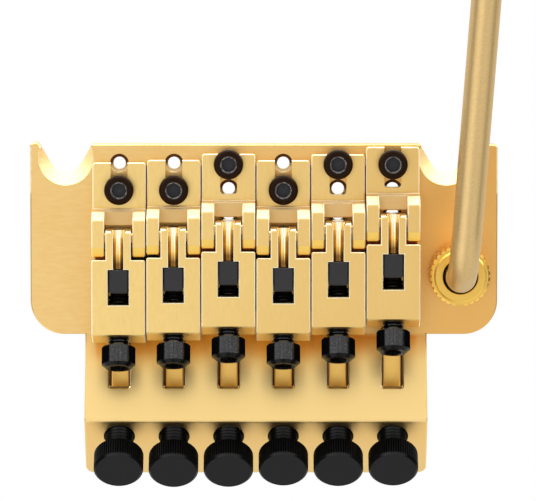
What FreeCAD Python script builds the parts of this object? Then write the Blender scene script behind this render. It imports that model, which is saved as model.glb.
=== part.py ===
import FreeCAD, Part
import math
import os

# Locking guitar tremolo bridge, in millimetres.
# X points to the arm side, Y towards the neck, Z up. The origin is midway between the two knife
# edges, on the underside of the plate.

# Base plate
plate_t = 3.0
stud_spacing = 74.3
left_edge = 44.1
right_edge = 47.2
nose_y = 2.7
prong_y = 3.0
treble_prong_y = 2.6
prong_r = 0.8
wing_rear_y = -34.6
wing_corner_r = 6.6
edge_break = 0.25

# Knife edges
knife_r = 3.15
knife_land = 0.4
bevel_r = 5.4
flare_angle = 60.0

# Raised apron and fine-tuner lip, bent from the same sheet
apron_half = 33.4
apron_slope = 25.0
bend_y = -50.8
lip_slope = 39.0
lip_end_y = -62.3
bend_r = 1.0
bend_inner_r = 0.8
fold_r = 2.0
lip_corner_r = 1.8
window_w = 4.2
window_front_y = -29.0
window_rear_y = -44.75
window_corner_r = 0.5
window_edge = 0.15

# Strings and saddles
string_count = 6
string_pitch = 10.66
saddle_gap = 0.26
saddle_front_y = 0.91
saddle_offset = (-1.70, -1.20, 0.0, -1.25, -0.10, 1.35)
saddle_rise = (0.0, 0.35, 0.6, 0.6, 0.35, 0.0)
screw_row = (1, 1, 0, 1, 0, 0)
row_front_y = -1.04
row_pitch = 5.0
row_count = 3

# Saddle base, measured back from its front edge and up from the plate
foot_t = 2.4
foot_corner_r = 0.6
slot_w = 3.3
slot_end = 7.9
slot_corner_r = 0.7
step_s = 8.9
step_h = 1.0
step_ledge = 0.35
shelf_lip = 0.25
ear_front = 9.3
shelf_end = 12.2
shelf_rise = 0.5
ear_w = 2.46
ear_chamfer_h = 3.0
ear_top_start = 10.88
ear_top_end = 15.95
ear_rear = 18.0
ear_drop = 0.8
ear_rear_slope_h = 0.6
ear_corner_r = 0.45
saddle_edge = 0.18

# String holder
top_h = 10.0
pin_s = 14.6
pin_h = 5.6
pin_r = 1.3
pin_press = 0.01
pin_running = 0.05
tongue_gap = 0.29
tongue_front = 12.7
tongue_nose = 0.55
tongue_under = 0.8
shoulder_s = 18.4
shoulder_rake = 0.8
shoulder_corner_r = 0.35
block_rear = 33.1
block_front_h = 0.75
block_rear_h = 2.2
block_undercut_s = 32.9
screw_tilt = 22.0
rear_face_h = 5.1
groove_r = 1.0
groove_depth = 1.7
groove_flare = 0.55
groove_flare_len = 1.6
pocket_w = 4.1
pocket_front = 20.3
pocket_rear = 27.2
pocket_floor_h = 3.0
pocket_edge = 0.15

# Lever tail of the string holder, which the fine tuner presses
tail_w = 3.4
tail_t = 2.2
tail_top_z = 0.4
tail_end = 54.2
neck_top_s = 34.6
neck_rise = 1.6
neck_in = 3.0
neck_bottom_s = 36.6
tail_front_s = 38.8
tail_edge = 0.2

# String clamp
insert_side_gap = 0.15
insert_len = 4.6
insert_gap = 0.05
insert_drop = 0.5
insert_corner_r = 0.4
lock_r = 2.0
lock_pitch = 0.7
lock_thread_depth = 0.32
lock_running = 0.05
lock_tip_r = 1.75
lock_tip_len = 0.3
lock_tip_gap = 0.05
lock_stick_out = 1.6
lock_head_r = 3.27
lock_head_len = 4.2
lock_bevel_len = 0.6
lock_end_r = 2.5
lock_socket_af = 3.0
lock_socket_depth = 2.2

# Saddle screws
saddle_screw_r = 1.5
saddle_core_r = 1.2
saddle_head_r = 2.88
saddle_head_round = 0.8
saddle_head_h = 3.0
saddle_socket_af = 2.6
saddle_socket_depth = 1.6
tapped_fit = 0.02
tapped_chamfer_r = 1.84

# Fine tuners
tuner_y = -54.15
tuner_r = 2.75
tuner_pitch = 0.8
tuner_thread_depth = 0.35
tuner_running = 0.06
tuner_countersink = 0.25
tuner_neck_len = 1.0
tuner_stick_out = 4.55
tuner_out = (0.15, 0.4, 0.35, 0.0, 0.15, 0.0)
knob_r = 4.82
knob_h = 4.5
knob_teeth = 64
knob_tooth_h = 0.22
knob_edge = 0.45
tuner_tip_r = 1.75
tuner_tip_len = 2.4
tip_gap = 0.3

# Leaf spring under the lever tails
leaf_t = 0.6
leaf_w = 5.2
leaf_root_r = 0.4
leaf_contact_y = -44.0
leaf_end_y = -45.5
leaf_gap = 0.3
leaf_root_z = -5.05
leaf_seat_gap = 0.05
strip_t = 0.8
strip_half = 29.0
strip_bottom_z = -11.0
strip_screw_x = 16.0
strip_screw_z = -8.3
strip_screw_r = 1.5
strip_screw_len = 7.2
strip_head_r = 2.8
strip_head_h = 1.6
strip_socket_af = 2.0
strip_socket_depth = 1.1

# Sustain block
block_half = 30.0
block_front_y = -15.5
block_rear_y = -28.5
block_depth = 38.0
block_taper = 4.0
block_taper_h = 12.0
block_edge = 1.0
spring_holes = 5
spring_pitch = 10.5
spring_hole_r = 1.5
spring_hole_depth = 9.0
spring_hole_inset = 5.85
block_screw_x = 22.0
block_screw_r = 2.0
block_screw_len = 12.0
block_head_r = 4.0
block_socket_af = 2.5
block_socket_depth = 2.0
head_recess = 0.1
bolt_clearance = 0.02

# Arm socket on the treble wing
arm_x = 39.6
arm_y = -22.4
bush_r = 4.4
bush_flange_r = 5.5
bush_flange_t = 1.4
bush_top_z = 8.5
bush_bottom_z = -8.0
bush_bore_gap = 0.06
hole_gap = 0.05
washer_r = 7.0
washer_t = 0.8
nut_af = 13.0
nut_t = 4.5
seat_washer_r = 4.2
seat_washer_t = 0.3
seat_gap = 0.05
collar_r = 5.87
collar_top_r = 5.1
collar_bottom_z = 4.5
collar_band_z = 12.0
collar_top_z = 13.0
collar_bore_r = 3.4
collar_bore_edge = 0.1
collar_teeth = 30
collar_tooth_h = 0.42
collar_edge = 0.3
thread_gap = 0.05

# Arm
arm_r = 2.87
arm_flange_r = 4.0
arm_flange_t = 0.5
arm_bottom_z = -7.0
arm_straight_z = 15.0
arm_bend_r = 13.0
arm_rise = 12.0
arm_lean = 3.9
arm_reach = 130.0
arm_end_edge = 1.2

# Shares of a knurl tooth and of a thread's pitch that are flat
tooth_land = 0.4
thread_crest = 0.2

# How far a cutting tool runs past a face, and how near two lengths count as the same
overrun = 1.0
near = 0.01

X_AXIS = FreeCAD.Vector(1, 0, 0)
Y_AXIS = FreeCAD.Vector(0, 1, 0)
Z_AXIS = FreeCAD.Vector(0, 0, 1)
ORIGIN = FreeCAD.Vector(0, 0, 0)


def vec(x, y, z):
    return FreeCAD.Vector(x, y, z)


def tan(degrees):
    return math.tan(math.radians(degrees))


def cos(degrees):
    return math.cos(math.radians(degrees))


def sin(degrees):
    return math.sin(math.radians(degrees))


# Shape helpers
def box(x0, x1, y0, y1, z0, z1):
    return Part.makeBox(x1 - x0, y1 - y0, z1 - z0, vec(x0, y0, z0))


def prism(points, along):
    wire = Part.makePolygon(points + points[:1])
    return Part.Face(wire).extrude(along)


def side_prism(points, width):
    """A side outline in (y, z), extruded evenly to both sides of the middle."""
    corners = [vec(-width / 2, y, z) for y, z in points]
    return prism(corners, vec(width, 0, 0))


def saddle_prism(points, width):
    """A side outline in (distance behind the front edge, height)."""
    return side_prism([(-s, z) for s, z in points], width)


def rod(radius, start, axis, length):
    return Part.makeCylinder(radius, length, start, axis)


def turned(profile):
    """A closed (radius, height) outline turned about Z."""
    wire = Part.makePolygon([vec(r, 0, z) for r, z in profile + profile[:1]])
    return Part.Face(wire).revolve(ORIGIN, Z_AXIS, 360)


def hexagon(across_flats, z0, z1, first_corner):
    r = across_flats / 2 / cos(30)
    turns = [first_corner + 60 * k for k in range(6)]
    return prism([vec(r * cos(a), r * sin(a), z0) for a in turns], vec(0, 0, z1 - z0))


def toothed(outer_r, tooth_h, count, z0, z1):
    """A straight-knurled cylinder."""
    points = []
    step = 360 / count
    inner_r = outer_r - tooth_h
    for k in range(count):
        flank = (1 - tooth_land) / 2
        for r, part in ((inner_r, 0), (outer_r, flank), (outer_r, 1 - flank)):
            a = (k + part) * step
            points.append(vec(r * cos(a), r * sin(a), z0))
    return prism(points, vec(0, 0, z1 - z0))


def thread_profile(radius, depth, pitch, z0, z1):
    """Points of a thread's crests and roots from z0 up to z1."""
    turns = int((z1 - z0) / pitch)
    points = [(radius - depth, z0)]
    for k in range(turns):
        middle = z0 + (k + 0.5) * pitch
        points.append((radius, middle - thread_crest * pitch / 2))
        points.append((radius, middle + thread_crest * pitch / 2))
        points.append((radius - depth, middle + pitch / 2))
    return points


def edges_where(shape, test):
    return [edge for edge in shape.Edges if test(edge.BoundBox)]


def along_z(bounds):
    return bounds.XLength + bounds.YLength < near < bounds.ZLength


def leaned(shape, origin, degrees):
    """Tip a shape made along Z backwards about X, then move its origin."""
    moved = shape.copy()
    turn = FreeCAD.Rotation(X_AXIS, degrees)
    moved.Placement = FreeCAD.Placement(origin, turn).multiply(moved.Placement)
    return moved


def shifted(shape, x, y, z):
    moved = shape.copy()
    moved.translate(vec(x, y, z))
    return moved


def string_x(index):
    return (index - (string_count - 1) / 2) * string_pitch


def save(name, shape):
    solid = shape.removeSplitter()
    if len(solid.Solids) == 1:
        solid = solid.Solids[0]
    solid.exportStep("parts/" + name + ".step")
    print(name, len(solid.Solids), round(solid.Volume, 2), solid.isValid())


# Places that several pieces share
bend_z = plate_t + (wing_rear_y - bend_y) * tan(apron_slope)
tuner_z = bend_z - (bend_y - tuner_y) * tan(lip_slope)
tuner_seat = vec(0, tuner_y, tuner_z)
saddle_w = string_pitch - saddle_gap
tongue_w = saddle_w - 2 * ear_w - 2 * tongue_gap
hole_rows = [row_front_y - k * row_pitch for k in range(row_count)]
tapped_r = saddle_core_r + tapped_fit


# Base plate
def knife_notch(side):
    """The knife-edge notch with its flared mouth and its bevel, as a cutting tool."""
    x = side * stud_spacing / 2
    tangent_x = knife_r * sin(flare_angle)
    tangent_y = -knife_r * cos(flare_angle)
    mouth_y = prong_y + overrun
    mouth_x = tangent_x + (mouth_y - tangent_y) / tan(flare_angle)
    corners = [(-tangent_x, tangent_y), (tangent_x, tangent_y), (mouth_x, mouth_y), (-mouth_x, mouth_y)]
    cut_h = plate_t + 2 * overrun
    mouth = prism([vec(x + u, v, -overrun) for u, v in corners], vec(0, 0, cut_h))
    round_end = rod(knife_r, vec(x, 0, -overrun), Z_AXIS, cut_h)
    bevel = Part.makeCone(knife_r, bevel_r, plate_t - knife_land, vec(x, 0, knife_land), Z_AXIS)
    return mouth.fuse(round_end).fuse(bevel)


def tapped_hole(x, y):
    chamfer_h = tapped_chamfer_r - tapped_r
    hole = rod(tapped_r, vec(x, y, 0), Z_AXIS, plate_t)
    top = Part.makeCone(tapped_r, tapped_chamfer_r, chamfer_h, vec(x, y, plate_t - chamfer_h), Z_AXIS)
    return hole.fuse(top)


def flat_plate():
    front = [(-left_edge, prong_y), (-stud_spacing / 2, prong_y), (-stud_spacing / 2, nose_y),
             (stud_spacing / 2, nose_y), (stud_spacing / 2, treble_prong_y), (right_edge, treble_prong_y)]
    outline = front + [(right_edge, wing_rear_y), (-left_edge, wing_rear_y)]
    plate = prism([vec(x, y, 0) for x, y in outline], vec(0, 0, plate_t))
    rear = edges_where(plate, lambda b: along_z(b) and abs(b.YMin - wing_rear_y) < near)
    plate = plate.makeFillet(wing_corner_r, rear)
    for side in (-1, 1):
        plate = plate.cut(knife_notch(side))
    tips = edges_where(plate, lambda b: along_z(b) and b.YMin > 0 and abs(b.XMin) > stud_spacing / 2)
    plate = plate.makeFillet(prong_r, tips)
    rim = edges_where(plate, lambda b: b.ZMin > plate_t - near
                      and (b.YMax < -bevel_r or b.YMin > treble_prong_y - near))
    return plate.makeChamfer(edge_break, rim)


def bent_apron():
    """The sheet behind the wings, up the slope and down the lip."""
    slope = vec(0, -cos(apron_slope), sin(apron_slope))
    drop = vec(0, -cos(lip_slope), -sin(lip_slope))
    half_turn = (apron_slope + lip_slope) / 2
    fold_shift = plate_t * tan(apron_slope / 2)
    bend_shift = plate_t * tan(half_turn)
    fold = vec(0, wing_rear_y, plate_t)
    bend = vec(0, bend_y, bend_z)
    end = bend + drop * ((bend_y - lip_end_y) / cos(lip_slope))
    under_fold = vec(0, wing_rear_y - fold_shift, 0)
    under_bend = bend + vec(0, -sin(apron_slope), -cos(apron_slope)) * plate_t - slope * bend_shift
    under_end = end + vec(0, sin(lip_slope), -cos(lip_slope)) * plate_t
    start_y = wing_rear_y + wing_corner_r
    path = [(start_y, 0), (start_y, plate_t), (fold.y, fold.z), (bend.y, bend.z), (end.y, end.z),
            (under_end.y, under_end.z), (under_bend.y, under_bend.z), (under_fold.y, under_fold.z)]
    sheet = side_prism(path, 2 * apron_half)

    for place, radius in ((bend, bend_r), (under_bend, bend_inner_r),
                          (fold, fold_r), (under_fold, fold_r + plate_t)):
        line = edges_where(sheet, lambda b: b.XLength > apron_half
                           and abs(b.YMin - place.y) < near and abs(b.ZMin - place.z) < near)
        sheet = sheet.makeFillet(radius, line)
    corners = edges_where(sheet, lambda b: b.XLength < near and abs(b.YMin - end.y) < near
                          and b.YLength < plate_t)
    sheet = sheet.makeFillet(lip_corner_r, corners)

    def under_top(bounds):
        middle = bounds.Center
        inward = math.copysign(near, middle.x)
        return sheet.isInside(middle - vec(inward, 0, near), near / 100, False)

    rims = edges_where(sheet, lambda b: b.XLength < near and under_top(b))
    return sheet.makeChamfer(edge_break, rims)


def on_apron(bounds):
    """Whether an edge's upper rear end lies on the apron's upper face."""
    return abs(bounds.ZMax - plate_t - (wing_rear_y - bounds.YMin) * tan(apron_slope)) < near


def base_plate():
    plate = flat_plate().fuse(bent_apron())
    for index in range(string_count):
        x = string_x(index)
        window = box(x - window_w / 2, x + window_w / 2, window_rear_y, window_front_y, -overrun, bend_z)
        window = window.makeFillet(window_corner_r, edges_where(window, along_z))
        plate = plate.cut(window)
        rims = edges_where(plate, lambda b: b.YMax < wing_rear_y - fold_r and b.YMin > window_rear_y - near
                           and abs(b.Center.x - x) < window_w and on_apron(b))
        plate = plate.makeChamfer(window_edge, rims)
        bore_r = tuner_r + tuner_running
        bore = rod(bore_r, vec(0, 0, -3 * plate_t), Z_AXIS, 4 * plate_t)
        rim = Part.makeCone(bore_r, bore_r + tuner_countersink, tuner_countersink,
                            vec(0, 0, -tuner_countersink), Z_AXIS)
        bore = bore.fuse(rim)
        plate = plate.cut(shifted(leaned(bore, tuner_seat, lip_slope), x, 0, 0))
        for y in hole_rows:
            plate = plate.cut(tapped_hole(x, y))
    for x in (-block_screw_x, 0, block_screw_x):
        plate = plate.cut(block_screw_shape(bolt_clearance).translated(vec(x, block_mid_y, plate_t)))
    return plate.cut(rod(bush_r + hole_gap, vec(arm_x, arm_y, 0), Z_AXIS, plate_t))


# Sustain block under the plate
block_mid_y = (block_front_y + block_rear_y) / 2


def block_screw_shape(grow):
    """A countersunk screw with its head's rim at height zero, grown all round by a clearance."""
    head_h = block_head_r - block_screw_r
    top = head_recess if grow else -head_recess
    return turned([(0, top), (block_head_r + grow, top), (block_head_r + grow, -head_recess),
                   (block_screw_r + grow, -head_recess - head_h),
                   (block_screw_r + grow, -block_screw_len - grow), (0, -block_screw_len - grow)])


def sustain_block():
    outline = [(block_front_y, 0), (block_front_y, -block_depth + block_taper_h),
               (block_front_y - block_taper, -block_depth), (block_rear_y, -block_depth), (block_rear_y, 0)]
    block = side_prism(outline, 2 * block_half)
    block = block.makeChamfer(block_edge, edges_where(block, lambda b: b.ZMin < -near))
    hole_y = block_rear_y + spring_hole_inset
    for k in range(spring_holes):
        x = (k - (spring_holes - 1) / 2) * spring_pitch
        block = block.cut(rod(spring_hole_r, vec(x, hole_y, -block_depth), Z_AXIS, spring_hole_depth))
    for x in (-block_screw_x, 0, block_screw_x):
        block = block.cut(block_screw_shape(bolt_clearance).translated(vec(x, block_mid_y, plate_t)))
    for x in (-strip_screw_x, strip_screw_x):
        block = block.cut(strip_screw(bolt_clearance).translated(vec(x, 0, 0)))
    return block


def block_screws():
    screw = block_screw_shape(0)
    socket = hexagon(block_socket_af, -head_recess - block_socket_depth, 0, 0)
    screw = screw.cut(socket)
    places = [vec(x, block_mid_y, plate_t) for x in (-block_screw_x, 0, block_screw_x)]
    return Part.makeCompound([screw.translated(place) for place in places])


# Leaf spring
leaf_root_y = block_rear_y - leaf_seat_gap - leaf_root_r
strip_rear_y = block_rear_y - strip_t
strip_top_z = leaf_root_z - leaf_root_r - leaf_seat_gap


def strip_screw(grow):
    """One screw of the leaf spring, pointing forwards into the block."""
    shank_r = strip_screw_r + grow
    end = strip_screw_len + grow
    core = turned([(0, 0), (strip_head_r, 0), (strip_head_r, strip_head_h),
                   (shank_r, strip_head_h), (shank_r, end), (0, end)])
    return leaned(core, vec(0, strip_rear_y - strip_head_h, strip_screw_z), -90)


def leaf_spring():
    strip = box(-strip_half, strip_half, strip_rear_y, block_rear_y, strip_bottom_z, strip_top_z)
    low = edges_where(strip, lambda b: b.XLength + b.ZLength < near and b.ZMin < strip_screw_z)
    strip = strip.makeFillet(strip_head_r, low)
    for x in (-strip_screw_x, strip_screw_x):
        place = vec(x, strip_rear_y, strip_screw_z)
        strip = strip.cut(rod(strip_screw_r + bolt_clearance, place, Y_AXIS, strip_t))
    return strip


def leaf_spring_screws():
    screw = strip_screw(0)
    socket = hexagon(strip_socket_af, 0, strip_socket_depth, 0)
    screw = screw.cut(leaned(socket, vec(0, strip_rear_y - strip_head_h, strip_screw_z), -90))
    return Part.makeCompound([screw.translated(vec(x, 0, 0)) for x in (-strip_screw_x, strip_screw_x)])


def spring_leaf():
    """One finger, from its root at the strip up to the underside of a lever tail."""
    contact_z = tail_top_z - tail_t - leaf_gap
    rise = (contact_z - leaf_t / 2 - leaf_root_z) / (leaf_root_y - leaf_contact_y)
    curl = leaf_contact_y - leaf_end_y
    top = leaf_t / 2
    outline = [(leaf_root_y, leaf_root_z + top), (leaf_contact_y, contact_z),
               (leaf_end_y, contact_z - curl * rise), (leaf_end_y, contact_z - curl * rise - leaf_t),
               (leaf_contact_y, contact_z - leaf_t), (leaf_root_y, leaf_root_z - top)]
    finger = side_prism(outline, leaf_w)
    root = rod(leaf_root_r, vec(-leaf_w / 2, leaf_root_y, leaf_root_z), X_AXIS, leaf_w)
    return finger.fuse(root)


# Saddle base
def ear_rear_corners(shape):
    return edges_where(shape, lambda b: along_z(b) and b.YMin < -ear_rear + near)


def saddle_base(rise):
    ear_top = top_h - ear_drop + rise
    chamfer_z = ear_top - ear_chamfer_h
    foot = saddle_prism([(0, 0), (0, foot_t), (ear_rear, foot_t), (ear_rear, 0)], saddle_w)
    foot = foot.makeFillet(foot_corner_r, edges_where(foot, lambda b: along_z(b) and b.YMin > -near))
    foot = foot.makeFillet(ear_corner_r, ear_rear_corners(foot))
    rim = edges_where(foot, lambda b: b.ZMin > foot_t - near and b.YMax > -ear_rear + near)
    foot = foot.makeChamfer(saddle_edge, rim)
    step_top = foot_t + step_h
    shelf_s = step_s + step_ledge
    shelf_top = step_top + shelf_lip + shelf_rise
    shelf = saddle_prism([(step_s, 0), (step_s, step_top), (shelf_s, step_top),
                          (shelf_s + shelf_lip, step_top + shelf_lip), (shelf_end, shelf_top),
                          (shelf_end, 0)], saddle_w)
    brows = edges_where(shelf, lambda b: b.ZMin > foot_t and b.XLength > ear_w
                        and (abs(b.YMin + step_s) < near or b.ZMin > shelf_top - near))
    shelf = shelf.makeChamfer(saddle_edge, brows)
    ear = saddle_prism([(ear_front, 0), (ear_front, chamfer_z), (ear_top_start, ear_top),
                        (ear_top_end, ear_top), (ear_rear, ear_top - ear_rear_slope_h),
                        (ear_rear, 0)], ear_w)
    ear = ear.makeFillet(ear_corner_r, ear_rear_corners(ear))
    rims = edges_where(ear, lambda b: b.ZMin > step_top
                       and (b.XLength < near or b.ZMin > chamfer_z + near))
    ear = ear.makeChamfer(saddle_edge, rims)
    inner = saddle_w / 2 - ear_w
    base = foot.fuse(shelf).cut(box(-inner, inner, -ear_rear, -shelf_end, 0, foot_t))
    for side in (-1, 1):
        base = base.fuse(shifted(ear, side * (saddle_w - ear_w) / 2, 0, 0))
    slot = box(-slot_w / 2, slot_w / 2, -slot_end, 0, 0, foot_t)
    slot_corners = edges_where(slot, lambda b: along_z(b) and b.YMin < -near)
    slot = slot.makeFillet(slot_corner_r, slot_corners)
    pin_hole = rod(pin_r + pin_press, vec(-saddle_w / 2, -pin_s, pin_h + rise), X_AXIS, saddle_w)
    return base.cut(slot).cut(pin_hole)


def saddle_pin(rise):
    length = saddle_w - 2 * saddle_edge
    pin = rod(pin_r, vec(-length / 2, -pin_s, pin_h + rise), X_AXIS, length)
    return pin.makeChamfer(saddle_edge, [edge for edge in pin.Edges if edge.Closed])


# String holder
def lock_axis_point(rise, along):
    """A point on the lock screw's axis, measured back from the middle of the holder's rear face."""
    s = block_rear + rear_face_h / 2 * sin(screw_tilt) + along * cos(screw_tilt)
    z = top_h + rise - rear_face_h / 2 * cos(screw_tilt) + along * sin(screw_tilt)
    return vec(0, -s, z)


def string_holder(rise):
    top = top_h + rise
    face_s = block_rear + rear_face_h * sin(screw_tilt)
    face_z = top - rear_face_h * cos(screw_tilt)
    body = saddle_prism([(shoulder_s, top), (block_rear, top), (face_s, face_z),
                         (block_undercut_s, block_rear_h),
                         (shoulder_s + shoulder_rake, block_front_h)], saddle_w)
    corners = edges_where(body, lambda b: b.XLength < near and b.ZMin < face_z
                          and b.YMax > -shoulder_s - near)
    body = body.makeFillet(shoulder_corner_r, corners)
    body = body.makeChamfer(saddle_edge, edges_where(body, lambda b: b.ZMin > face_z - near))
    tongue = saddle_prism([(tongue_front, foot_t + tongue_under), (tongue_front, top - tongue_nose),
                           (tongue_front + tongue_nose, top), (shoulder_s + overrun, top),
                           (shoulder_s + overrun, foot_t + tongue_under)], tongue_w)
    rims = edges_where(tongue, lambda b: b.ZMin > top - tongue_nose - near and b.YMax > -shoulder_s)
    tongue = tongue.makeChamfer(saddle_edge, rims)
    holder = body.fuse(tongue).fuse(lever_tail())
    groove_z = top - groove_depth + groove_r
    groove = rod(groove_r, vec(0, -pocket_front, groove_z), Y_AXIS, pocket_front - tongue_front)
    groove = groove.fuse(box(-groove_r, groove_r, -pocket_front, -tongue_front, groove_z, top))
    flare = Part.makeCone(groove_r, groove_r + groove_flare, groove_flare_len,
                          vec(0, -tongue_front - groove_flare_len, groove_z), Y_AXIS)
    pocket = box(-pocket_w / 2, pocket_w / 2, -pocket_rear, -pocket_front, pocket_floor_h, top)
    axis = vec(0, -cos(screw_tilt), sin(screw_tilt))
    reach = face_s - pocket_front
    bore = rod(lock_r + lock_running, lock_axis_point(rise, -reach), axis, reach + overrun)
    pocket_front_half = box(-saddle_w, saddle_w, -(pocket_front + pocket_rear) / 2, 0, 0, top)
    bore = bore.cut(pocket_front_half)
    pin_hole = rod(pin_r + pin_running, vec(-saddle_w / 2, -pin_s, pin_h + rise), X_AXIS, saddle_w)
    holder = holder.cut(groove).cut(flare).cut(pocket).cut(bore).cut(pin_hole)
    rims = edges_where(holder, lambda b: b.ZMin > top - near and b.YMax < -pocket_front + near
                       and b.YMin > -pocket_rear - near and b.XMax < pocket_w / 2 + near
                       and b.XMin > -pocket_w / 2 - near)
    return holder.makeChamfer(pocket_edge, rims)


def lever_tail():
    tail_z = tail_top_z - plate_t
    outline = [(block_undercut_s - neck_in, block_rear_h + neck_in),
               (neck_top_s, block_rear_h + neck_rise), (tail_front_s, tail_z), (tail_end, tail_z),
               (tail_end, tail_z - tail_t), (neck_bottom_s, tail_z - tail_t),
               (block_undercut_s, block_rear_h)]
    tail = saddle_prism(outline, tail_w)
    rims = edges_where(tail, lambda b: b.ZMin > tail_z - near and b.ZMax < tail_z + near)
    return tail.makeChamfer(tail_edge, rims)


# String clamp
def clamp_insert(rise):
    top = top_h + rise - insert_drop
    front = pocket_front + insert_gap
    half = pocket_w / 2 - insert_side_gap
    block = box(-half, half, -front - insert_len, -front, pocket_floor_h + insert_gap, top)
    rear_edges = edges_where(block, lambda b: along_z(b) and b.YMin < -front - near)
    block = block.makeFillet(insert_corner_r, rear_edges)
    return block.makeChamfer(saddle_edge, edges_where(block, lambda b: b.ZMin > top - near))


def lock_screw(rise):
    """Made along Z with its origin at the middle of the holder's rear face, then tipped back."""
    push_s = pocket_front + insert_gap + insert_len + lock_tip_gap
    face = -lock_axis_point(rise, 0).y
    tip = -(face - push_s) / cos(screw_tilt) + lock_tip_r * tan(screw_tilt)
    head_z = lock_stick_out
    end_z = head_z + lock_head_len
    core_r = lock_r - lock_thread_depth
    profile = [(0, tip), (lock_tip_r, tip)]
    profile += thread_profile(lock_r, lock_thread_depth, lock_pitch, tip + lock_tip_len, head_z)
    profile += [(core_r, head_z), (lock_head_r - edge_break, head_z), (lock_head_r, head_z + edge_break),
                (lock_head_r, end_z - lock_bevel_len), (lock_end_r, end_z), (0, end_z)]
    socket = hexagon(lock_socket_af, end_z - lock_socket_depth, end_z, 30)
    screw = turned(profile).cut(socket)
    return leaned(screw, lock_axis_point(rise, 0), 90 - screw_tilt)


# Saddle screws
def saddle_screws():
    seat = plate_t + foot_t
    top = seat + saddle_head_h
    step = saddle_screw_r - saddle_core_r
    profile = [(0, 0), (saddle_core_r, 0), (saddle_core_r, plate_t), (saddle_screw_r, plate_t + step),
               (saddle_screw_r, seat), (saddle_head_r, seat), (saddle_head_r, top), (0, top)]
    screw = turned(profile)
    brim = edges_where(screw, lambda b: b.ZMin > top - near and b.XLength > saddle_head_r)
    screw = screw.makeFillet(saddle_head_round, brim)
    socket_r = saddle_socket_af / 2 / cos(30)
    rim = edge_break
    mouth = Part.makeCone(socket_r - rim, socket_r + rim, 2 * rim, vec(0, 0, top - 2 * rim), Z_AXIS)
    screw = screw.cut(mouth)
    screw = screw.cut(hexagon(saddle_socket_af, top - saddle_socket_depth, top, 30))
    places = [vec(string_x(i), hole_rows[screw_row[i]], 0) for i in range(string_count)]
    return Part.makeCompound([screw.translated(place) for place in places])


# Fine tuners
def fine_tuner(index):
    """Made along Z with its origin on the lip, then tipped back and moved to its string."""
    sphere_z = tail_top_z + tuner_tip_r + tip_gap
    depth = (tuner_z - sphere_z) / cos(lip_slope)
    knob_z = tuner_stick_out
    shank_end = -depth + tuner_tip_len
    core_r = tuner_r - tuner_thread_depth
    profile = [(0, -depth), (tuner_tip_r, -depth), (tuner_tip_r, shank_end - (core_r - tuner_tip_r))]
    neck_z = knob_z - tuner_neck_len
    profile += thread_profile(tuner_r, tuner_thread_depth, tuner_pitch, shank_end, neck_z)
    profile += [(core_r, knob_z + knob_edge), (0, knob_z + knob_edge)]
    shank = turned(profile).fuse(Part.makeSphere(tuner_tip_r, vec(0, 0, -depth)))
    knob_end = knob_z + knob_h
    envelope = turned([(0, knob_z), (knob_r - knob_edge, knob_z), (knob_r, knob_z + knob_edge),
                       (knob_r, knob_end - knob_edge), (knob_r - knob_edge, knob_end), (0, knob_end)])
    knob = toothed(knob_r, knob_tooth_h, knob_teeth, knob_z, knob_end).common(envelope)
    tuner = shifted(shank.fuse(knob), 0, 0, tuner_out[index])
    return shifted(leaned(tuner, tuner_seat, lip_slope), string_x(index), 0, 0)


# Arm socket
def arm_bushing():
    flange_top = plate_t + bush_flange_t
    bore = arm_r + bush_bore_gap
    profile = [(bore, bush_bottom_z), (bush_r, bush_bottom_z), (bush_r, plate_t),
               (bush_flange_r, plate_t), (bush_flange_r, flange_top), (bush_r, flange_top),
               (bush_r, bush_top_z), (bore, bush_top_z)]
    return turned(profile).translated(vec(arm_x, arm_y, 0))


def arm_washer():
    inner = bush_r + hole_gap
    ring = turned([(inner, -washer_t), (washer_r, -washer_t), (washer_r, 0), (inner, 0)])
    return ring.translated(vec(arm_x, arm_y, 0))


def arm_nut():
    top = -washer_t
    bottom = top - nut_t
    nut = hexagon(nut_af, bottom, top, 0).cut(rod(bush_r + hole_gap, vec(0, 0, bottom), Z_AXIS, nut_t))
    corner_r = nut_af / 2 / cos(30)
    flat_r = nut_af / 2
    bevel = (corner_r - flat_r) * tan(30)
    envelope = turned([(0, top), (corner_r, top), (corner_r, bottom + bevel),
                       (flat_r, bottom), (0, bottom)])
    return nut.common(envelope).translated(vec(arm_x, arm_y, 0))


flange_z = bush_top_z + seat_gap + seat_washer_t + seat_gap
ceiling_z = flange_z + arm_flange_t + seat_washer_t + 2 * seat_gap


def arm_seat_washers():
    """Two thin rings that grip the arm's flange from below and above."""
    rings = []
    inner = arm_r + bush_bore_gap
    for z in (bush_top_z + seat_gap / 2, flange_z + arm_flange_t + seat_gap):
        top = z + seat_washer_t
        ring = turned([(inner, z), (seat_washer_r, z), (seat_washer_r, top), (inner, top)])
        rings.append(ring.translated(vec(arm_x, arm_y, 0)))
    return Part.makeCompound(rings)


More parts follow.
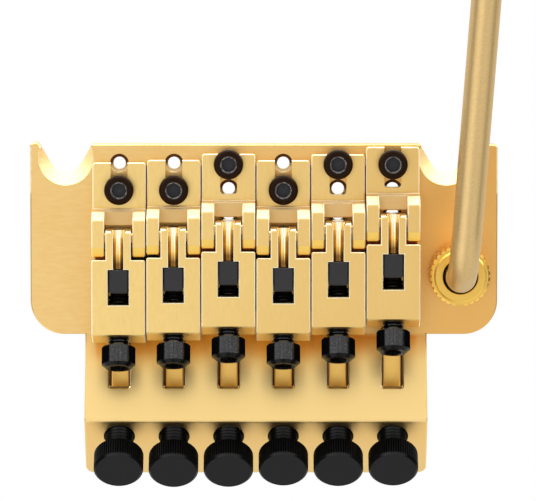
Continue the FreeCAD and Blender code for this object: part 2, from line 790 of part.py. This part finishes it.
def arm_collar():
    band = toothed(collar_r, collar_tooth_h, collar_teeth, collar_bottom_z, collar_band_z)
    root_r = collar_r - collar_tooth_h
    envelope = turned([(0, collar_bottom_z), (root_r, collar_bottom_z),
                       (collar_r, collar_bottom_z + collar_edge), (collar_r, collar_band_z - collar_edge),
                       (root_r, collar_band_z), (0, collar_band_z)])
    rim_z = collar_top_z - collar_edge
    cap = turned([(0, collar_bottom_z), (collar_top_r, collar_bottom_z), (collar_top_r, rim_z),
                  (collar_top_r - collar_edge, collar_top_z), (0, collar_top_z)])
    collar = band.common(envelope).fuse(cap)
    inner = bush_r + thread_gap
    mouth = collar_bore_r + collar_bore_edge
    hollow = turned([(0, 0), (inner, 0), (inner, ceiling_z), (collar_bore_r, ceiling_z),
                     (collar_bore_r, collar_top_z - collar_bore_edge), (mouth, collar_top_z),
                     (0, collar_top_z)])
    flange_room = rod(bush_flange_r + thread_gap, ORIGIN, Z_AXIS, plate_t + bush_flange_t)
    return collar.cut(hollow).cut(flange_room).translated(vec(arm_x, arm_y, 0))


# Arm
def tremolo_arm():
    turn = 90 - arm_rise
    centre = vec(0, arm_bend_r, arm_straight_z)
    start = vec(0, 0, arm_straight_z)
    middle = centre + vec(0, -arm_bend_r * cos(turn / 2), arm_bend_r * sin(turn / 2))
    elbow = centre + vec(0, -arm_bend_r * cos(turn), arm_bend_r * sin(turn))
    run = (arm_reach - elbow.y) / cos(arm_rise)
    tip = elbow + vec(0, cos(arm_rise), sin(arm_rise)) * run
    edges = [Part.LineSegment(vec(0, 0, arm_bottom_z), start).toShape(),
             Part.Arc(start, middle, elbow).toShape(), Part.LineSegment(elbow, tip).toShape()]
    section = Part.Wire([Part.makeCircle(arm_r, vec(0, 0, arm_bottom_z), Z_AXIS)])
    arm = Part.Wire(edges).makePipeShell([section], True, False)
    rims = [edge for edge in edges_where(arm, lambda b: b.YMin > elbow.y + run / 2 or b.ZMax < 0)
            if edge.Closed]
    arm = arm.makeFillet(arm_end_edge, rims)
    flange = turned([(0, flange_z), (arm_flange_r, flange_z), (arm_flange_r, flange_z + arm_flange_t),
                     (0, flange_z + arm_flange_t)])
    arm = arm.fuse(flange)
    arm.rotate(ORIGIN, Z_AXIS, -arm_lean)
    return arm.translated(vec(arm_x, arm_y, 0))


os.makedirs("parts", exist_ok=True)
save("base_plate", base_plate())
save("sustain_block", sustain_block())
save("block_screws", block_screws())
save("saddle_screws", saddle_screws())
save("leaf_spring", leaf_spring())
save("leaf_spring_screws", leaf_spring_screws())
save("arm_bushing", arm_bushing())
save("arm_washer", arm_washer())
save("arm_nut", arm_nut())
save("arm_seat_washers", arm_seat_washers())
save("arm_collar", arm_collar())
save("tremolo_arm", tremolo_arm())
for i in range(string_count):
    number = str(i + 1)
    place = (string_x(i), saddle_front_y + saddle_offset[i], plate_t)
    rise_i = saddle_rise[i]
    save("saddle_base_" + number, shifted(saddle_base(rise_i), *place))
    save("saddle_pin_" + number, shifted(saddle_pin(rise_i), *place))
    save("string_holder_" + number, shifted(string_holder(rise_i), *place))
    save("clamp_insert_" + number, shifted(clamp_insert(rise_i), *place))
    save("lock_screw_" + number, shifted(lock_screw(rise_i), *place))
    save("fine_tuner_" + number, fine_tuner(i))
    save("spring_leaf_" + number, shifted(spring_leaf(), string_x(i), 0, 0))
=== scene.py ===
import math

import bpy
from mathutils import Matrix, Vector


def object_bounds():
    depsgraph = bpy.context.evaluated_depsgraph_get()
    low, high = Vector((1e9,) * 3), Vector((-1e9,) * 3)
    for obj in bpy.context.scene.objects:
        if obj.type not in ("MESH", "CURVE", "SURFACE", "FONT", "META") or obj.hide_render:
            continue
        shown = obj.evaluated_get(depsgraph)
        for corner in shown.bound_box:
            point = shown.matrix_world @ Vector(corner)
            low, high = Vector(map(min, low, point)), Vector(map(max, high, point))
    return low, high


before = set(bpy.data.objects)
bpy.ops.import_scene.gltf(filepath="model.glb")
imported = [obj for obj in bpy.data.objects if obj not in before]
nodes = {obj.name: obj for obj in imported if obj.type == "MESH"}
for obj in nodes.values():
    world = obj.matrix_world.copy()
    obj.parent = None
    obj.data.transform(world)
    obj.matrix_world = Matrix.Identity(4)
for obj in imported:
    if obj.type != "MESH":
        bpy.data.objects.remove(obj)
cad_box = [list(corner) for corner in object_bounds()]
scene = bpy.context.scene
MM = 0.001

# Places on the part that its finishes follow, in millimetres
bass_x = -40.0
treble_x = 42.0
wing_rear_y = -34.6
apron_fade = 5.0
bend_y = -50.8
bend_fade = 0.6
lip_start_y = -53.8
knife_edge_y = (-7.0, 2.2)
tapped_reach = 2.0
gap_half = 0.2
gap_y = (-30.0, -1.5)
holder_y = (-30.0, -16.0)
holder_inset = 0.35
window_y = (-45.5, -30.0)
shelf_z = (6.2, 7.5)
groove_half = 1.0
groove_len = 7.6
groove_rim_w = 0.14
tail_z = (3.4, 0.9)


# Places and lengths read from the frame, in millimetres
def span(name, axis):
    """Where a node starts and ends along an axis."""
    reach = [corner[axis] / MM for corner in nodes[name].bound_box]
    return min(reach), max(reach)


string_count = 6
row_count = 3
first_string_x = sum(span("string_holder_1", 0)) / 2
last_string_x = sum(span("string_holder_6", 0)) / 2
string_pitch = (last_string_x - first_string_x) / (string_count - 1)
outer_saddle_x = span("string_holder_6", 0)[1] - holder_inset
holder_rear_y, holder_front_y = span("string_holder_1", 1)
holder_len = holder_front_y - holder_rear_y
lip_end_y = span("base_plate", 1)[0]

# The saddle screws stand in two neighbouring rows of the three
outer_hole_x = span("saddle_screws", 0)[1]
screw_head_r = outer_hole_x - last_string_x
screws_rear_y, screws_front_y = span("saddle_screws", 1)
screw_row_y = screws_front_y - screw_head_r
screw_row_pitch = screw_row_y - screws_rear_y - screw_head_r
last_row_y = screw_row_y - (row_count - 1) * screw_row_pitch
tapped_y = (last_row_y - tapped_reach, screw_row_y + tapped_reach)

# Tones of the base plate, painted light, shade and glints among them, in linear light
plate_bass = (0.87, 0.60, 0.24)
plate_treble = (0.80, 0.45, 0.13)
apron_light = (0.96, 0.69, 0.28)
bend_shade = (0.94, 0.62, 0.225)
lip_light = (0.88, 0.63, 0.27)
knife_edge_glint = (0.94, 0.76, 0.42)
hole_shade = (0.22, 0.09, 0.03)
hole_glint = (1.0, 0.80, 0.45)
window_brim_glint = (1.0, 0.90, 0.62)
window_shade = (0.05, 0.018, 0.008)
gap_shade = (0.26, 0.055, 0.015)

# Tones of the saddles and string holders, with their painted highlights, shade and reflections
saddle_bass = (0.98, 0.715, 0.27)
saddle_treble = (0.85, 0.555, 0.188)
saddle_edge_glint = (1.0, 0.91, 0.64)
shelf_shade = (0.71, 0.47, 0.195)
ear_front_glint = (1.0, 0.84, 0.55)
ear_slope_reflection = (1.0, 0.67, 0.15)
groove_middle_reflection = ((1.0, 0.93, 0.70), (0.88, 0.58, 0.18))
groove_wall_reflection = ((0.95, 0.68, 0.22), (0.50, 0.29, 0.05))
groove_rim_glint = (1.0, 0.90, 0.60)
groove_shade = (0.12, 0.05, 0.012)
tail_bounce_light = (1.0, 0.62, 0.16)

# Tones of the arm, the collar and the pieces under the plate
arm_tone = (0.65, 0.46, 0.205)
arm_grit = (0.44, 0.30, 0.13)
collar_tone = (0.88, 0.55, 0.115)
block_bass = (0.72, 0.50, 0.21)
block_treble = (0.66, 0.44, 0.18)
pin_bass = (0.80, 0.60, 0.30)
pin_treble = (0.72, 0.52, 0.25)
spring_bass = (0.10, 0.06, 0.035)
spring_treble = (0.09, 0.05, 0.03)

# Tones of the black pieces, with painted highlights, reflections and sheen
screw_tone = (0.007, 0.005, 0.004)
screw_socket = (0.034, 0.033, 0.037)
screw_edge_reflection = (0.016, 0.0065, 0.0025)
screw_rim_glint = (0.30, 0.28, 0.275)
lock_tone = (0.0015, 0.0015, 0.002)
lock_sheen = (0.11, 0.107, 0.105)
tuner_tone = (0.002, 0.002, 0.002)
insert_tone = (0.018, 0.018, 0.020)
nylon_tone = (0.010, 0.010, 0.010)
oxide_tone = (0.006, 0.006, 0.007)


class Graph:
    """Short names for building a node tree."""

    def __init__(self, owner):
        owner.use_nodes = True
        self.tree = owner.node_tree
        self.tree.nodes.clear()

    def add(self, kind):
        return self.tree.nodes.new("ShaderNode" + kind)

    def feed(self, socket, value):
        if isinstance(value, bpy.types.NodeSocket):
            self.tree.links.new(value, socket)
        elif socket.type == "RGBA":
            socket.default_value = (*value, 1.0)
        else:
            socket.default_value = value

    def math(self, operation, a, b=0.0):
        node = self.add("Math")
        node.operation = operation
        self.feed(node.inputs[0], a)
        self.feed(node.inputs[1], b)
        return node.outputs["Value"]

    def product(self, first, *others):
        """The values multiplied, which for masks is 1 only where each of them is 1."""
        for value in others:
            first = self.math("MULTIPLY", first, value)
        return first

    def remap(self, value, low, high, to_low=0.0, to_high=1.0):
        node = self.add("MapRange")
        self.feed(node.inputs["Value"], value)
        node.inputs["From Min"].default_value = low
        node.inputs["From Max"].default_value = high
        node.inputs["To Min"].default_value = to_low
        node.inputs["To Max"].default_value = to_high
        return node.outputs["Result"]

    def between(self, value, low, high, soft):
        """1 between two values and 0 outside them, with soft edges."""
        rise = self.remap(value, low - soft, low + soft)
        fall = self.remap(value, high - soft, high + soft, 1.0, 0.0)
        return self.product(rise, fall)

    def mix(self, factor, a, b):
        """Colour a where the factor is 0 and colour b where it is 1."""
        node = self.add("Mix")
        node.data_type = "RGBA"
        self.feed(node.inputs[0], factor)
        self.feed(node.inputs[6], a)
        self.feed(node.inputs[7], b)
        return node.outputs[2]

    def split(self, vector):
        node = self.add("SeparateXYZ")
        self.feed(node.inputs["Vector"], vector)
        return node.outputs["X"], node.outputs["Y"], node.outputs["Z"]


class Finish(Graph):
    """A procedural material that knows where on the part it is, in millimetres, and how its faces lean."""

    def __init__(self, name):
        self.material = bpy.data.materials.new(name)
        super().__init__(self.material)
        self.shader = self.add("BsdfPrincipled")
        output = self.add("OutputMaterial")
        self.feed(output.inputs["Surface"], self.shader.outputs["BSDF"])
        coords = self.add("TexCoord")
        scale = self.add("VectorMath")
        scale.operation = "SCALE"
        self.feed(scale.inputs[0], coords.outputs["Object"])
        scale.inputs["Scale"].default_value = 1 / MM
        self.where = scale.outputs["Vector"]
        self.x, self.y, self.z = self.split(self.where)
        self.along = self.split(coords.outputs["Generated"])[1]
        self.rightward, self.forward, self.upward = self.split(coords.outputs["Normal"])

    def set(self, name, value):
        self.feed(self.shader.inputs[name], value)

    def paint(self, mask, colour):
        """Another base colour where the mask is 1."""
        self.base = self.mix(mask, self.base, colour)

    def noise(self, per_mm, detail, seed):
        """Noise with its own number of features per millimetre along each axis."""
        seed_spread = (1.0, 1.7, 0.6)
        mapping = self.add("Mapping")
        self.feed(mapping.inputs["Vector"], self.where)
        mapping.inputs["Scale"].default_value = per_mm
        mapping.inputs["Location"].default_value = [seed * share for share in seed_spread]
        texture = self.add("TexNoise")
        self.feed(texture.inputs["Vector"], mapping.outputs["Vector"])
        texture.inputs["Scale"].default_value = 1.0
        texture.inputs["Detail"].default_value = detail
        return texture.outputs["Fac"]

    def bump(self, height, strength, depth_mm):
        node = self.add("Bump")
        node.inputs["Strength"].default_value = strength
        node.inputs["Distance"].default_value = depth_mm * MM
        self.feed(node.inputs["Height"], height)
        self.set("Normal", node.outputs["Normal"])

    def beside_string(self):
        """Distance sideways from the nearest string's middle plane."""
        share = self.math("FRACT", self.math("DIVIDE", self.x, string_pitch))
        off_middle = self.math("ABSOLUTE", self.math("SUBTRACT", share, 0.5))
        return self.math("MULTIPLY", off_middle, string_pitch)

    def from_screw(self):
        """Distance from the nearest place of the saddle screws."""
        rows = self.math("DIVIDE", self.math("SUBTRACT", self.y, screw_row_y), screw_row_pitch)
        astray = self.math("SUBTRACT", rows, self.math("ROUND", rows))
        lengthwise = self.math("MULTIPLY", astray, screw_row_pitch)
        across = self.beside_string()
        square = self.math("ADD", self.product(across, across), self.product(lengthwise, lengthwise))
        return self.math("SQRT", square)

    def paint_highlight(self, mask, colour, sheen_share):
        """Painted highlight: duller, paler metal where the mask is 1."""
        highlight_rough = 0.25
        self.paint(mask, colour)
        self.rough = self.math("ADD", self.rough, self.math("MULTIPLY", mask, highlight_rough))
        self.set("Metallic", self.remap(mask, 0.0, 1.0, 1.0, 1.0 - sheen_share))

    def edge(self):
        """1 on the narrow bevels along the edges."""
        bevel_lean = (0.66, 0.76)
        sideways = self.math("ABSOLUTE", self.rightward)
        lengthwise = self.math("ABSOLUTE", self.forward)
        return self.between(self.math("MAXIMUM", sideways, lengthwise), *bevel_lean, soft=0.03)

    def done(self):
        self.set("Base Color", self.base)
        self.set("Roughness", self.rough)
        return self.material


# Gold plating
def gold(name, bass, treble, rough, grain, streak=0.05):
    """Satin plating whose tone drifts from the bass to the treble side as a painted fall of light, with a
    fine brushed grain.
    """
    uneven = 0.12
    streak_share = 0.35
    streak_dark = 4 * streak
    streak_rough = 0.75 * streak
    streak_height = 2.5 * streak
    finish = Finish(name)
    cloud = finish.noise((0.06, 0.06, 0.06), detail=2.0, seed=3.0)
    lines = finish.noise(grain, detail=3.0, seed=11.0)
    across = finish.remap(finish.x, bass_x, treble_x)
    drift = finish.math("ADD", across, finish.remap(cloud, 0.3, 0.7, -uneven, uneven))
    # Painted light: paler towards the bass side, plus random mottling from the cloud noise
    finish.base = finish.mix(drift, bass, treble)
    darker = [c * (1 - streak_dark) for c in treble]
    finish.paint(finish.remap(lines, 0.35, 0.75, 0.0, streak_share), darker)
    finish.rough = finish.remap(lines, 0.3, 0.7, rough - streak_rough, rough + streak_rough)
    finish.set("Metallic", 1.0)
    finish.bump(lines, streak_height, depth_mm=0.003)
    return finish


def plate_gold():
    """Painted light on apron and lip with painted shade past the bend, painted highlights on the knife
    edges, painted shade and glints in the holes, painted highlights and shade at the windows, and painted
    red-brown shade in the gaps.
    """
    finish = gold("plate gold", plate_bass, plate_treble, rough=0.34, grain=(0.4, 1.4, 1.4), streak=0.007)
    # Painted light: a paler apron, a band of painted shade just past the bend and a paler lip
    for start, end, tone in ((wing_rear_y, wing_rear_y - apron_fade, apron_light),
                             (bend_y, bend_y - bend_fade, bend_shade),
                             (lip_start_y, lip_end_y, lip_light)):
        finish.paint(finish.remap(finish.y, start, end), tone)

    knife_lean = (0.5, 0.85)
    bevel = finish.between(finish.upward, *knife_lean, soft=0.04)
    bevel = finish.product(bevel, finish.between(finish.y, *knife_edge_y, soft=0.3))
    # Painted highlight on the knife-edge bevels
    finish.paint_highlight(bevel, knife_edge_glint, sheen_share=0.12)

    flat_up = 0.9
    inboard = finish.between(finish.x, -outer_hole_x, outer_hole_x, soft=0.1)
    hole = finish.product(finish.math("LESS_THAN", finish.from_screw(), tapped_reach),
                          finish.math("LESS_THAN", finish.upward, flat_up),
                          finish.between(finish.y, *tapped_y, soft=0.1), inboard)
    # Painted shade and glint in the tapped holes: dark on walls facing the rear, glinting on walls facing
    # the front
    finish.paint(hole, finish.mix(finish.remap(finish.forward, -0.1, 0.3), hole_shade, hole_glint))

    brim_lean = (0.6, 0.82)
    wall_lean = 0.88
    window = finish.product(finish.between(finish.y, *window_y, soft=0.2), inboard)
    lean = finish.math("MAXIMUM", finish.math("ABSOLUTE", finish.rightward), finish.forward)
    # Painted highlight on the window brims and painted shade on the window walls
    finish.paint(finish.product(window, finish.between(lean, *brim_lean, soft=0.03)), window_brim_glint)
    finish.paint(finish.product(window, finish.math("GREATER_THAN", lean, wall_lean)), window_shade)

    gap = finish.product(finish.math("GREATER_THAN", finish.beside_string(), string_pitch / 2 - gap_half),
                         finish.between(finish.y, *gap_y, soft=0.2), inboard)
    under = finish.product(finish.between(finish.x, -outer_saddle_x, outer_saddle_x, soft=0.1),
                           finish.between(finish.y, *holder_y, soft=0.2))
    # Painted red-brown shade in the gaps between the saddles and under the holders
    finish.paint(finish.math("MAXIMUM", gap, under), gap_shade)
    return finish.done()


def saddle_gold(name):
    finish = gold(name, saddle_bass, saddle_treble, rough=0.30, grain=(1.6, 0.5, 1.6), streak=0.012)
    # Painted highlight on the narrow bevels along the edges
    finish.paint_highlight(finish.edge(), saddle_edge_glint, sheen_share=0.7)
    return finish


def base_gold():
    """A rougher shelf darkened with painted shade, painted highlights on the front facets of the ears and a
    painted deeper-yellow reflection on their rear slope.
    """
    shelf_rough = 0.12
    front_lean = (0.80, 0.94)
    slope_lean = (-0.42, -0.18)
    finish = saddle_gold("saddle gold")
    level = finish.remap(finish.upward, 0.5, 0.8)
    shelf = finish.product(finish.between(finish.z, *shelf_z, soft=0.1), level)
    # Painted shade on the shelf between the ears
    finish.paint(shelf, shelf_shade)
    finish.rough = finish.math("ADD", finish.rough, finish.math("MULTIPLY", shelf, shelf_rough))
    # Painted highlight on the front facets of the ears
    finish.paint(finish.between(finish.forward, *front_lean, soft=0.02), ear_front_glint)
    # Painted deeper-yellow reflection on the rear slope of the ears
    finish.paint(finish.between(finish.forward, *slope_lean, soft=0.03), ear_slope_reflection)
    return finish.done()


def holder_gold():
    """A polished string groove with painted reflections, painted highlights on its rims and painted shade
    towards the insert, and painted bounced light that warms the lever tail.
    """
    polish = -0.16
    least_rough = 0.12
    middle_reach = (1.5, 5.0)
    wall_reach = (0.5, 3.0)
    shade_reach = (4.6, 6.6)
    shade_share = 0.9
    wall_side = (0.42, 0.62)
    flat_up = 0.95
    finish = saddle_gold("holder gold")
    behind = finish.math("MULTIPLY", finish.math("SUBTRACT", 1.0, finish.along), holder_len)
    beside_groove = finish.math("LESS_THAN", behind, groove_len)
    across = finish.beside_string()
    groove = finish.product(finish.math("LESS_THAN", across, groove_half), beside_groove)
    polished = finish.math("ADD", finish.rough, finish.math("MULTIPLY", groove, polish))
    finish.rough = finish.math("MAXIMUM", polished, least_rough)
    # Painted reflections in the groove: pale in the middle at the front, darker brown on the walls towards
    # the rear
    middle = finish.mix(finish.remap(behind, *middle_reach), *groove_middle_reflection)
    wall = finish.mix(finish.remap(behind, *wall_reach), *groove_wall_reflection)
    finish.paint(groove, finish.mix(finish.remap(across, *wall_side), middle, wall))
    rim = finish.product(finish.between(across, groove_half, groove_half + groove_rim_w, soft=0.03),
                         finish.math("GREATER_THAN", finish.upward, flat_up), beside_groove)
    # Painted highlight on the rims of the groove
    finish.paint(rim, groove_rim_glint)
    finish.paint(finish.product(groove, finish.remap(behind, *shade_reach, 0.0, shade_share)), groove_shade)
    # Painted light bounced inside the window makes the lever tail a warmer orange towards its low end
    finish.paint(finish.remap(finish.z, *tail_z), tail_bounce_light)
    return finish.done()


def arm_gold():
    """Duller plating with a grainy tone."""
    grit_share = 0.3
    finish = gold("arm gold", arm_tone, arm_tone, rough=0.44, grain=(2.0, 0.15, 2.0), streak=0.02)
    grit = finish.noise((2.6, 2.6, 2.6), detail=4.0, seed=23.0)
    finish.paint(finish.remap(grit, 0.35, 0.7, 0.0, grit_share), arm_grit)
    return finish.done()


# Blackened steel
def black(name, colour, rough, gloss, fleck):
    """Near black, with small paler flecks where the coating is thin."""
    finish = Finish(name)
    fine = finish.noise((5.0, 5.0, 5.0), detail=4.0, seed=7.0)
    wide = finish.noise((0.4, 0.4, 0.4), detail=3.0, seed=17.0)
    thin = [c * 2.0 + 0.008 for c in colour]
    finish.base = finish.mix(finish.remap(fine, 0.5, 0.8, 0.0, fleck), colour, thin)
    finish.rough = finish.remap(wide, 0.3, 0.7, rough * 0.85, rough * 1.2)
    finish.set("Specular IOR Level", gloss)
    finish.bump(fine, strength=0.25, depth_mm=0.012)
    return finish


def screw_black():
    """Saddle screws: a grey socket with a patchy painted highlight on its rim, and a painted brown
    reflection on the edge of the head.
    """
    socket_r = (1.45, 1.25)
    rim_glint_r = (1.38, 1.62)
    edge_reflection_r = (1.65, 1.9)
    dull_r = (1.6, 1.95)
    gloss = 0.20
    dull_gloss = 0.05
    finish = black("screw black", screw_tone, rough=0.25, gloss=gloss, fleck=0.5)
    away = finish.from_screw()
    finish.paint(finish.remap(away, *socket_r), screw_socket)
    # Painted brown reflection of the surrounding gold on the edge of the head
    finish.paint(finish.remap(away, *edge_reflection_r), screw_edge_reflection)
    # Painted highlight, patchy, on the rim around the socket
    patchy = finish.remap(finish.noise((2.2, 2.2, 2.2), detail=2.0, seed=31.0), 0.40, 0.62, 0.2, 1.0)
    finish.paint(finish.product(finish.between(away, *rim_glint_r, soft=0.06), patchy), screw_rim_glint)
    finish.set("Specular IOR Level", finish.remap(away, *dull_r, gloss, dull_gloss))
    return finish.done()


def lock_black():
    """Clamp screws: the upper side is glossier with paler flecks, a painted sheen; the flanks and the rear
    bevel stay dull.
    """
    upper_lean = (-0.52, 0.62)
    upper_gloss = 0.70
    rear_gloss = 0.12
    finish = black("lock black", lock_tone, rough=0.18, gloss=0.1, fleck=0.6)
    upper = finish.between(finish.rightward, *upper_lean, soft=0.04)
    upper = finish.product(upper, finish.remap(finish.forward, -0.25, 0.0))
    rear = finish.remap(finish.forward, -0.2, -0.4, 0.0, rear_gloss)
    shine = finish.math("MAXIMUM", finish.math("MULTIPLY", upper, upper_gloss), rear)
    finish.set("Specular IOR Level", shine)
    sheen_share = finish.remap(finish.noise((4.0, 4.0, 4.0), detail=2.0, seed=41.0), 0.59, 0.74)
    # Painted sheen: paler flecks on the upper side only, speckled like the coating
    finish.paint(finish.product(sheen_share, upper), lock_sheen)
    return finish.done()


def tuner_black():
    """Fine tuners: flat knob ends and their bevel dark grey, knurl and thread almost black."""
    side_gloss = 0.03
    end_gloss = 0.19
    bevel_gloss = 0.30
    finish = black("tuner black", tuner_tone, rough=0.42, gloss=0.2, fleck=0.2)
    end = finish.remap(finish.forward, -0.2, -0.5, side_gloss, end_gloss)
    bevel = finish.remap(finish.upward, 0.90, 0.96, 0.0, bevel_gloss)
    finish.set("Specular IOR Level", finish.math("MAXIMUM", end, bevel))
    return finish.done()


collar_gold = gold("collar gold", collar_tone, collar_tone, rough=0.30, grain=(1.5, 1.5, 1.5), streak=0.03)
block_brass = gold("block brass", block_bass, block_treble, rough=0.34, grain=(0.15, 3.0, 3.0))
pin_steel = gold("pin steel", pin_bass, pin_treble, rough=0.25, grain=(3.0, 0.4, 0.4))
spring_steel = gold("spring steel", spring_bass, spring_treble, rough=0.36, grain=(3.0, 0.2, 3.0))
finishes = {
    "base_plate": plate_gold(),
    "saddle_base": base_gold(),
    "string_holder": holder_gold(),
    "tremolo_arm": arm_gold(),
    "saddle_screws": screw_black(),
    "lock_screw": lock_black(),
    "fine_tuner": tuner_black(),
    "arm_collar": collar_gold.done(),
    "sustain_block": block_brass.done(),
    "saddle_pin": pin_steel.done(),
    "leaf_spring": spring_steel.done(),
    "clamp_insert": black("insert black", insert_tone, rough=0.40, gloss=0.30, fleck=0.4).done(),
    "arm_seat_washers": black("nylon black", nylon_tone, rough=0.50, gloss=0.3, fleck=0.2).done(),
    "block_screws": black("oxide black", oxide_tone, rough=0.25, gloss=0.3, fleck=0.5).done(),
}
finishes["leaf_spring_screws"] = finishes["block_screws"]
finishes["spring_leaf"] = finishes["leaf_spring"]
finishes["arm_bushing"] = finishes["arm_collar"]
finishes["arm_washer"] = finishes["base_plate"]
finishes["arm_nut"] = finishes["base_plate"]
for name, node in nodes.items():
    stem = name[:-2] if name[-1].isdigit() else name
    node.data.materials.clear()
    node.data.materials.append(finishes[stem])


# Floor, white to the camera and to reflections
def floor_material():
    material = bpy.data.materials.new("floor")
    graph = Graph(material)
    path = graph.add("LightPath")
    glow = graph.add("Emission")
    glow.inputs["Strength"].default_value = 1.0
    matt = graph.add("BsdfDiffuse")
    matt.inputs["Color"].default_value = (0.8, 0.8, 0.8, 1.0)
    mix = graph.add("MixShader")
    seen = graph.math("MAXIMUM", path.outputs["Is Camera Ray"], path.outputs["Is Glossy Ray"])
    graph.feed(mix.inputs["Fac"], seen)
    graph.feed(mix.inputs[1], matt.outputs["BSDF"])
    graph.feed(mix.inputs[2], glow.outputs["Emission"])
    graph.feed(graph.add("OutputMaterial").inputs["Surface"], mix.outputs["Shader"])
    return material


floor_gap = 0.5 * MM
floor_z = cad_box[0][2] - floor_gap
floor_half = 3.0
corners = [(-1, -1), (1, -1), (1, 1), (-1, 1)]
mesh = bpy.data.meshes.new("floor")
mesh.from_pydata([(floor_half * x, floor_half * y, floor_z) for x, y in corners], [], [(0, 1, 2, 3)])
floor = bpy.data.objects.new("floor", mesh)
scene.collection.objects.link(floor)
mesh.materials.append(floor_material())


# Studio light: two wide soft panels overhead with a dim gap between them, and a lamp on the bass side
def studio():
    """Angles are in degrees to the treble side and to the front, which is brighter in its middle only."""
    left_panel = (-62, -4)
    right_panel = (4, 60)
    panel_level = 1.3
    middle_gap = (-4, 4)
    gap_level = 0.45
    lamp_reach = (-52, -12)
    lamp_level = 0.6
    front_zone = (28, 95)
    front_middle = (-14, 14)
    front_change = 0.25
    fill_level = 0.10
    world = bpy.data.worlds.new("studio")
    scene.world = world
    graph = Graph(world)
    direction = graph.add("TexCoord").outputs["Generated"]
    x, y, _ = graph.split(direction)
    side = graph.math("DEGREES", graph.math("ARCSINE", x))
    fore = graph.math("DEGREES", graph.math("ARCSINE", y))
    front = graph.between(fore, *front_zone, soft=8)
    lamp = graph.remap(front, 0.0, 1.0, lamp_level, 0.0)
    lamp = graph.product(graph.between(side, *lamp_reach, soft=5), lamp)
    left = graph.math("ADD", graph.product(graph.between(side, *left_panel, soft=2), panel_level), lamp)
    gap = graph.product(graph.between(side, *middle_gap, soft=2), gap_level)
    right = graph.math("ADD", graph.product(graph.between(side, *right_panel, soft=3), panel_level), gap)
    key = graph.remap(graph.between(side, *front_middle, soft=4), 0.0, 1.0, -front_change, front_change)
    key = graph.math("ADD", graph.product(front, key), 1.0)
    panels = graph.product(graph.math("ADD", left, right), key)
    light = graph.math("ADD", panels, fill_level)
    seen = graph.add("LightPath").outputs["Is Camera Ray"]
    unseen = graph.math("SUBTRACT", 1.0, seen)
    shown = graph.math("ADD", graph.product(light, unseen), seen)
    back = graph.add("Background")
    graph.feed(back.inputs["Strength"], shown)
    graph.feed(graph.add("OutputWorld").inputs["Surface"], back.outputs["Background"])


studio()


# A low front light, which the saddles' front bevels and the knife edges catch
def front_card():
    ahead = 0.19
    above_floor = 0.02
    tilt = math.radians(-155)
    light = bpy.data.lights.new("front card", "AREA")
    light.shape = "RECTANGLE"
    light.size = 1.0
    light.size_y = 0.20
    light.energy = 4.2
    card = bpy.data.objects.new("front card", light)
    scene.collection.objects.link(card)
    card.location = (0.0, ahead, floor_z + above_floor)
    card.rotation_euler = (tilt, 0.0, 0.0)
    card.visible_camera = False


front_card()


# Camera above, leaning a little towards the neck, at the photo's scale
def photo_camera():
    lean = math.radians(5.0)
    x, y, z = (2.35 * MM, -18.17 * MM, 3.0 * MM)
    distance = 0.950
    px_per_mm = 5.115
    photo_width = 536
    data = bpy.data.cameras.new("camera")
    data.sensor_width = 36.0
    data.lens = px_per_mm * distance / MM / photo_width * data.sensor_width
    data.clip_end = 20.0
    camera = bpy.data.objects.new("camera", data)
    scene.collection.objects.link(camera)
    camera.location = (x, y + distance * math.sin(lean), z + distance * math.cos(lean))
    camera.rotation_euler = (-lean, 0.0, 0.0)
    scene.camera = camera


photo_camera()
scene.view_settings.view_transform = "Standard"
